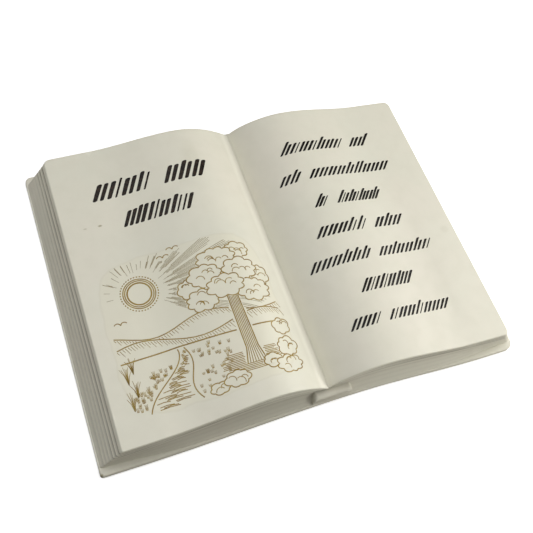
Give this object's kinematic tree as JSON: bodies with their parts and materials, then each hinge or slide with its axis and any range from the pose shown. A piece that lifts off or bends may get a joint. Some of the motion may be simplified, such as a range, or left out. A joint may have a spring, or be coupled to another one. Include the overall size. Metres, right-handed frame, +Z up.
{
  "type": "open book headstone",
  "caption": "Small grave ornament in the form of an open book lying flat, cast in one piece, with rows of stroke marks in both pages.",
  "frame": {"origin": "on the ground under the middle of the book, at the centre of the bounding box's bottom face", "axes": "+X across both pages to the right, +Y from the foot of the pages to their head, +Z up"},
  "size_m": [0.18, 0.1318, 0.0232],
  "materials": {
    "cream_resin": "satin"
  },
  "bodies": {
    "root": {"open_book": "cream_resin"}
  },
  "joints": []
}
